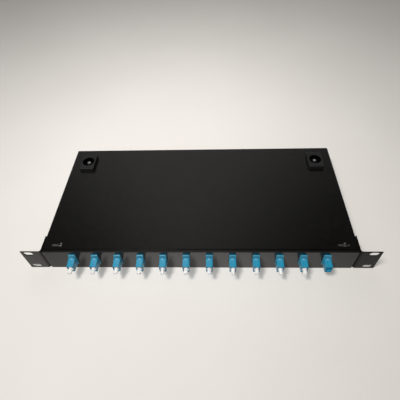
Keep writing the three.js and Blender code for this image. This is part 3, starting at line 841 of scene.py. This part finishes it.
def add_screws():
    # Each row: kind, radius and height of the head, radius and length of the shank, material.
    for kind, head, height, shank, length, material in (
        ("cover_screw", 2.8, 2.1, 1.5, 6.5, BLACK_STEEL),
        ("pad_screw", 3.2, 2.4, 2.0, 12.0, ZINC),
    ):
        mesh = pan_screw_mesh(kind, head, height, shank, length, material)
        for turn, hand in enumerate(HANDS):
            node = f"{kind}_{hand}"
            at = middle(node)
            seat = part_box(node)[1].z - height * MM
            put(mesh, f"{node}_pan", node, (at.x, at.y, seat), (0, 0, math.radians(22 + 51 * turn)))
    head_height = 1.95
    mesh = pan_screw_mesh("tray_screw", 2.6, head_height, 1.5, 3.6, ZINC)
    at = middle("tray_screw")
    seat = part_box("tray_screw")[1].z - head_height * MM
    put(mesh, "tray_screw_pan", "tray_screw", (at.x, at.y, seat), (0, 0, math.radians(10)))
    ear = countersunk_mesh(2.8, 1.0, 1.5, 8.0)
    for hand in HANDS:
        for turn, row in enumerate(("lower", "upper")):
            node = f"ear_screw_{hand}_{row}"
            low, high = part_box(node)
            at = middle(node)
            spin = math.radians(17 + 40 * turn)
            if hand == "right":
                put(ear, f"{node}_csk", node, (high.x, at.y, at.z), (spin, 0, 0))
            else:
                put(ear, f"{node}_csk", node, (low.x, at.y, at.z), (spin, 0, math.pi))


# ---------------------------------------------------------------- rubber


def pad_mesh():
    """A pad with rounded edges and a round well. Its origin is the middle of its base."""
    low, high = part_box("corner_pad_left")
    width, depth, height = [(high[i] - low[i]) / MM for i in range(3)]
    b = Builder("corner_pad")
    steps = 11
    count = 4 * (steps + 1)

    def square(z, inset, radius):
        return lay(rounded_outline(width - 2 * inset, depth - 2 * inset, radius, steps), "z", z)

    def disc(z, radius):
        return lay(circle_outline(radius, count, -math.pi / count), "z", z)

    b.loft(
        [
            square(0.0, 0.35, 2.7),
            square(0.3, 0.0, 3.0),
            square(height - 0.9, 0.15, 3.0),
            square(height - 0.35, 0.35, 2.9),
            square(height - 0.08, 0.75, 2.6),
            square(height, 1.3, 2.2),
            disc(height, PAD_WELL + 0.5),
            disc(height - 0.12, PAD_WELL + 0.2),
            disc(height - 0.5, PAD_WELL),
            disc(1.5, PAD_WELL - 0.2),
            disc(1.1, PAD_WELL - 0.5),
            disc(1.0, PAD_WELL - 1.0),
            disc(1.0, 2.3),
            disc(0.0, 2.3),
        ],
        PAD_RUBBER,
        closed=True,
    )
    return b.data()


def grommet_mesh():
    """A turned rubber grommet, its groove over the wall. Its origin is in the middle of the wall."""
    low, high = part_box("cable_grommet_left")
    outer, half = (high.x - low.x) / 2 / MM, (high.y - low.y) / 2 / MM
    neck, wall = 9.8, 0.8  # radius of the groove's floor, and half its width
    b = Builder("grommet")
    face = [
        (5.5, -half + 0.5),
        (6.0, -half),
        (outer - 1.6, -half),
        (outer - 0.5, -half + 0.35),
        (outer, -half + 1.0),
    ]
    groove = [(outer, -wall - 0.15), (outer - 0.15, -wall), (neck, -wall)]
    profile = face + groove
    profile += [(radius, -along) for radius, along in reversed(profile)]
    b.turned(profile, "y", GROMMET_RUBBER, count=64, closed=True)
    for u, v in circle_outline(7.9, 6):
        centre = (u, 0, v)
        nib = [(0.02, half - 0.05), (0.55, half - 0.05), (0.5, half), (0.02, half)]
        b.turned(nib, "y", GROMMET_RUBBER, centre, 12)
    return b.data()


def add_rubber():
    pad, grommet = pad_mesh(), grommet_mesh()
    for hand in HANDS:
        node = f"corner_pad_{hand}"
        at = middle(node)
        put(pad, f"{node}_foot", node, (at.x, at.y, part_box(node)[0].z))
        node = f"cable_grommet_{hand}"
        put(grommet, f"{node}_ring", node, middle(node))


# ---------------------------------------------------------------- earthing bolt


def add_ground_stud():
    """A hexagon bolt through the rear wall, with a washer and a nut. Its origin is on the wall's outside."""
    node = "ground_stud"
    at = middle(node)
    b = Builder("earthing_bolt")
    out = (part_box(node)[1].y - REAR_Y) / MM
    pitch = 0.7
    profile = [(1.7, -3.2)]
    for ridge in range(int((out + 2.6) / pitch)):
        y = -2.8 + pitch * ridge
        profile += [(1.7, y), (1.98, y + pitch * 0.5)]
    profile += [(1.7, out - 0.45), (1.3, out)]
    b.turned(profile, "y", ZINC, count=28)
    washer = [(2.15, 0.0), (4.4, 0.0), (4.5, 0.1), (4.5, 0.7), (4.4, 0.8), (2.15, 0.8)]
    b.turned(washer, "y", ZINC, count=48, closed=True)
    nut = circle_outline(4.04, 6)
    b.prism(nut, "y", 0.8, 3.4, ZINC, chamfer=0.25)
    head = circle_outline(4.0, 6, 0.2)
    b.prism(head, "y", -3.8, -1.3, ZINC, chamfer=0.25)
    put(b.data(), "ground_stud_bolt", node, (at.x, REAR_Y, at.z))


# ---------------------------------------------------------------- pigtails


def catmull(points, per_span):
    """A smooth path through points."""
    pts = [Vector(p) for p in points]
    pts = [2 * pts[0] - pts[1], *pts, 2 * pts[-1] - pts[-2]]
    path = []
    for a, b, c, d in zip(pts, pts[1:], pts[2:], pts[3:]):
        for step in range(per_span):
            t = step / per_span
            cubic = 2 * b + (c - a) * t + (2 * a - 5 * b + 4 * c - d) * t**2 + (3 * b - a - 3 * c + d) * t**3
            path.append(0.5 * cubic)
    path.append(pts[-2])
    return path


def plug(b, x, z, front, back):
    body = rounded_outline(6.7, 8.6, 0.6, 3)
    end = rounded_outline(6.2, 8.1, 0.5, 3)
    stations = ((end, front), (body, front + 0.3), (body, back - 0.5), (end, back))
    b.loft([lay(outline, "y", y, (x, 0, z)) for outline, y in stations], PLUG_BLUE)


def ribbed_boot(b, x, z, front, back):
    """The boot behind a plug, with ribs that grow smaller toward the fibre."""
    profile = [(2.6, front - 0.5)]
    for rib in range(6):
        at = front + 1.0 + rib * 1.8
        radius = 2.55 - 0.2 * rib
        profile += [(radius, at), (radius, at + 0.9), (radius - 0.45, at + 1.1), (radius - 0.45, at + 1.6)]
    profile += [(1.1, back - 0.6), (0.8, back)]
    b.turned(profile, "y", BOOT_PLASTIC, (x, 0, z), 24)


def splice_sleeve(b, x, z, front, back):
    profile = [
        (0.6, front),
        (1.1, front + 0.8),
        (1.25, front + 1.8),
        (1.25, back - 1.8),
        (1.1, back - 0.8),
        (0.6, back),
    ]
    b.turned(profile, "y", SLEEVE, (x, 0, z), 20)


def add_pigtails():
    """Each pigtail: a plug in the back of its adapter, a ribbed boot, the fibre, and its splice sleeve."""
    tray_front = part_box("splice_tray")[0].y / MM
    port_z = middle("adapter_01").z / MM
    for port in PORTS:
        node = f"pigtail_{port}"
        low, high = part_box(node)
        x = middle(f"adapter_{port}").x / MM
        comb_x = x / PORT_PITCH * COMB_PITCH
        plug_front = low.y / MM
        plug_back = plug_front + PLUG_LENGTH
        boot_end = plug_back + BOOT_LENGTH
        sleeve_back = high.y / MM
        sleeve_front = sleeve_back - SLEEVE_LENGTH
        bed = low.z / MM + 1.25  # height of the fibre in the comb
        b = Builder(f"{node}_lead")
        jacket_plastic = jacket(port)
        plug(b, x, port_z, plug_front, plug_back)
        ribbed_boot(b, x, port_z, plug_back, boot_end)
        path = [
            (x, boot_end - 1, port_z),
            (x, boot_end + 8, port_z - 0.5),
            ((x + comb_x) / 2, (boot_end + tray_front) / 2 + 2, (port_z + bed) / 2 + abs(comb_x) * 0.3),
            (comb_x, tray_front - 6, bed + 1),
            (comb_x, sleeve_front - 14, bed),
            (comb_x, sleeve_front + 1, bed),
        ]
        b.tube(catmull(path, 9), 0.45, jacket_plastic)
        splice_sleeve(b, comb_x, bed, sleeve_front, sleeve_back)
        put(b.data(), f"{node}_lead", node, (0, 0, 0))


# ---------------------------------------------------------------- stage, light and camera


def floor_material():
    """Plain pale table top, with the faintest mottling."""
    s = Shader("pale_floor").set(IOR=1.45)
    s.colour(s.noise(260, detail=4), (0.800, 0.775, 0.742), (0.825, 0.802, 0.770))
    s.rough(s.noise(90, detail=3), 0.52, 0.62)
    return s.bump((s.noise(1.4, detail=3), 0.02)).material


FLOOR_HALF = 4.0
FLOOR_DROP = 0.0002  # keeps the floor clear of the tray's underside


def add_floor():
    mesh = bpy.data.meshes.new("floor")
    corners = [(-1, -1), (1, -1), (1, 1), (-1, 1)]
    points = [(x * FLOOR_HALF, y * FLOOR_HALF, -FLOOR_DROP) for x, y in corners]
    mesh.from_pydata(points, [], [(0, 1, 2, 3)])
    mesh.materials.append(floor_material())
    floor = bpy.data.objects.new("floor", mesh)
    bpy.context.scene.collection.objects.link(floor)


def add_light(name, location, target, size, power, colour, fill=False):
    """A round soft lamp. A fill lamp casts no shadow and shows in no reflection."""
    data = bpy.data.lights.new(name, "AREA")
    data.shape = "DISK"
    data.size = size
    data.energy = power
    data.color = colour
    data.use_shadow = not fill
    lamp = bpy.data.objects.new(name, data)
    lamp.visible_glossy = not fill
    lamp.location = location
    lamp.rotation_mode = "QUATERNION"
    lamp.rotation_quaternion = (Vector(target) - Vector(location)).to_track_quat("-Z", "Y")
    bpy.context.scene.collection.objects.link(lamp)


def add_world():
    """A long soft light overhead and in front; behind the box a pale wall dims and narrows as it climbs."""
    world = bpy.data.worlds.new("room")
    bpy.context.scene.world = world
    world.use_nodes = True
    n = Nodes(world.node_tree, "Generated")
    back = n.axis("Y")
    half_width = n.math("MAXIMUM", n.math("ADD", n.math("MULTIPLY", back, 0.99), -0.29), 0.05)
    wall = n.math("MULTIPLY", n.bell(-0.10, half_width), n.spread(back, 0.0, 0.55, 0.28, 0.60, "SMOOTHSTEP"))
    front = n.math("MULTIPLY", n.bell(-0.14, 0.45), n.spread(back, 0.40, 0.0, -0.20, 0.24, "SMOOTHSTEP"))
    background = world.node_tree.nodes["Background"]
    background.inputs["Color"].default_value = (1.0, 0.975, 0.95, 1)
    n.link(n.math("ADD", n.math("ADD", wall, front), 0.012), background.inputs["Strength"])


CAMERA_PLACE = (0.0260, -0.3369, 0.4512)
CAMERA_PITCH, CAMERA_YAW, CAMERA_ROLL = 47.92, -3.92, -3.40  # degrees down, to the right and anticlockwise
LENS_MM, SENSOR_MM = 31.572, 36.0
LENS_SHIFT = (-0.00075, -0.0515)  # as parts of the picture's width


def add_camera():
    """Hand-held, close above the front of the box and looking down at it."""
    pitch, yaw, roll = (math.radians(angle) for angle in (CAMERA_PITCH, CAMERA_YAW, CAMERA_ROLL))
    forward = Vector((math.sin(yaw) * math.cos(pitch), math.cos(yaw) * math.cos(pitch), -math.sin(pitch)))
    level = forward.cross(Vector((0, 0, 1))).normalized()
    upright = level.cross(forward)
    right = level * math.cos(roll) + upright * math.sin(roll)
    up = upright * math.cos(roll) - level * math.sin(roll)
    data = bpy.data.cameras.new("camera")
    data.sensor_width = SENSOR_MM
    data.lens = LENS_MM
    data.shift_x, data.shift_y = LENS_SHIFT
    camera = bpy.data.objects.new("camera", data)
    camera.location = CAMERA_PLACE
    camera.rotation_mode = "QUATERNION"
    camera.rotation_quaternion = Matrix((right, up, -forward)).transposed().to_quaternion()
    bpy.context.scene.collection.objects.link(camera)
    bpy.context.scene.camera = camera


# ---------------------------------------------------------------- build

# CAD nodes that keep their shape: name, material, and how many millimetres its sharp edges are eased by.
for node, material, edge in (
    ("chassis_tray", BODY_PAINT, 0.25),
    ("top_cover", BODY_PAINT, 0.35),
    ("front_panel", PANEL_PAINT, 0.25),
    ("rack_ear_left", EAR_PAINT, 0.35),
    ("rack_ear_right", EAR_PAINT, 0.35),
    ("splice_tray", TRAY_PLASTIC, 0.3),
    ("splice_tray_lid", LID, 0.2),
    ("splice_comb", FOAM, 0.1),
    ("cable_clamp", TRAY_PLASTIC, 0.3),
    ("fibre_ring_left", BOOT_PLASTIC, 0.3),
    ("fibre_ring_right", BOOT_PLASTIC, 0.3),
):
    finish_node(node, material, edge)

add_adapters_and_caps()
add_screws()
add_rubber()
add_ground_stud()
add_pigtails()
add_floor()
add_light("overhead", (-0.34, -0.43, 1.25), (0, 0, 0), 0.30, 9.9, (1.0, 0.98, 0.955))
add_light("ceiling", (-0.06, 0.20, 0.62), (-0.06, 0.20, 0), 0.40, 2.4, (1.0, 0.98, 0.96), fill=True)
add_world()
add_camera()
bpy.context.scene.view_settings.view_transform = "Standard"
